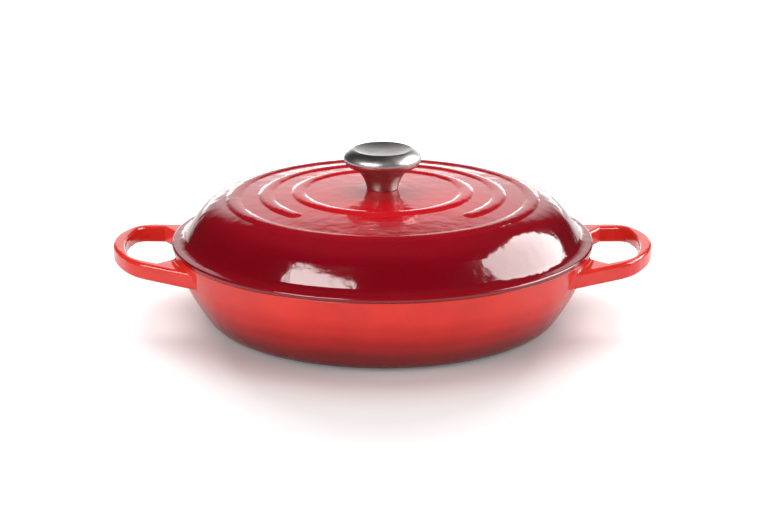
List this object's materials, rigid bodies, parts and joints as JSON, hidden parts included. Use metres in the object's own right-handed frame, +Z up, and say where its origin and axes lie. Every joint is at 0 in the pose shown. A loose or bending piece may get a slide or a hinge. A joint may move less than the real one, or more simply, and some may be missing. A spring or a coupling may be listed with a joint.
{
  "type": "braiser",
  "caption": "Shallow round enamelled cast-iron pan with loop side handles, a domed lid with raised concentric rings, and a turned steel knob.",
  "frame": {"origin": "centre of the flat base ring, on the surface that the pan stands on", "axes": "+Z up through the knob, +X through the right handle, -Y towards the camera of the picture, where the middle ring of the lid is open"},
  "size_m": [0.396, 0.3092, 0.1297],
  "materials": {
    "pan_enamel": "glossy enamel, orange-red at the rim and dark red at the base outside, sand-coloured inside",
    "lid_enamel": "glossy red enamel outside, sand-coloured enamel inside",
    "knob_steel": "turned satin stainless steel",
    "screw_steel": "bright stainless steel",
    "washer_steel": "stamped stainless steel"
  },
  "bodies": {
    "pan": {"pan": "pan_enamel"},
    "lid": {"lid": "lid_enamel", "knob": "knob_steel", "knob_screw": "screw_steel", "knob_washer": "washer_steel"}
  },
  "joints": [
    {"name": "lid_lift", "type": "slide", "parent": "pan", "child": "lid", "axis": [0, 0, 1], "range_m": [0, 0.15]}
  ]
}
